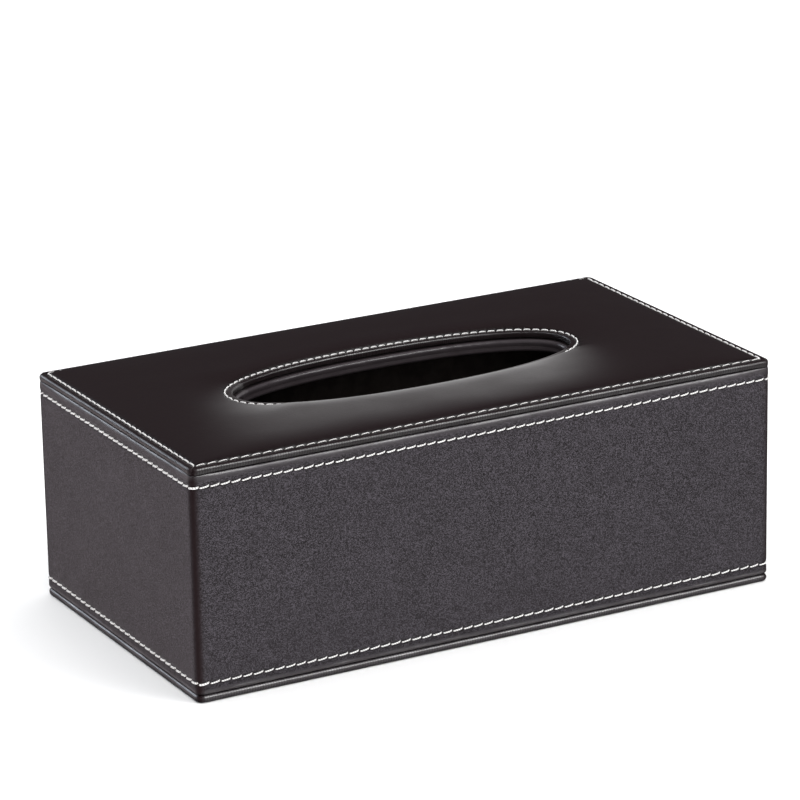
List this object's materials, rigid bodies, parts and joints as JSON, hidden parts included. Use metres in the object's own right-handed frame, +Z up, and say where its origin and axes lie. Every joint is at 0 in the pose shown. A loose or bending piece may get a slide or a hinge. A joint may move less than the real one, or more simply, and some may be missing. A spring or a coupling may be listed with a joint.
{
  "type": "tissue box cover",
  "caption": "Leather-covered box that hides a flat pack of tissues: padded top with an oval slot, boarded walls and a hinged base flap.",
  "frame": {"origin": "under the middle of the cover, on the surface that it stands on", "axes": "+X along the cover, -Y towards the front, +Z up"},
  "size_m": [0.25, 0.136, 0.0934],
  "materials": {
    "panel_leather": "satin, smooth",
    "wall_leather": "matt, fine grain",
    "base_leather": "satin, smooth",
    "fibreboard": "raw fibreboard",
    "greyboard": "raw greyboard",
    "foam": "soft pad",
    "lining": "short-napped cloth",
    "magnet": "nickel plated",
    "strike_steel": "plain steel",
    "thread": "white sewing thread"
  },
  "bodies": {
    "cover": {"panel_skin": "panel_leather", "panel_foam": "foam", "panel_board": "greyboard", "wall_wrap": "wall_leather", "wall_board_front": "fibreboard", "wall_board_rear": "fibreboard", "wall_board_left": "fibreboard", "wall_board_right": "fibreboard", "roof_board": "fibreboard", "opening_binding": "panel_leather", "lining_front": "lining", "lining_rear": "lining", "lining_left": "lining", "lining_right": "lining", "lining_roof": "lining", "magnet_left": "magnet", "magnet_right": "magnet", "hinge_strip": "wall_leather"},
    "base_flap": {"base_skin": "base_leather", "base_board": "greyboard", "base_lining": "lining", "strike_plate_left": "strike_steel", "strike_plate_right": "strike_steel"}
  },
  "joints": [
    {"name": "base_flap_hinge", "type": "hinge", "parent": "cover", "child": "base_flap", "pos_m": [0, 0.06815, 0.00305], "axis": [1, 0, 0], "range_deg": [0, 180], "deforming": ["hinge_strip"]}
  ]
}
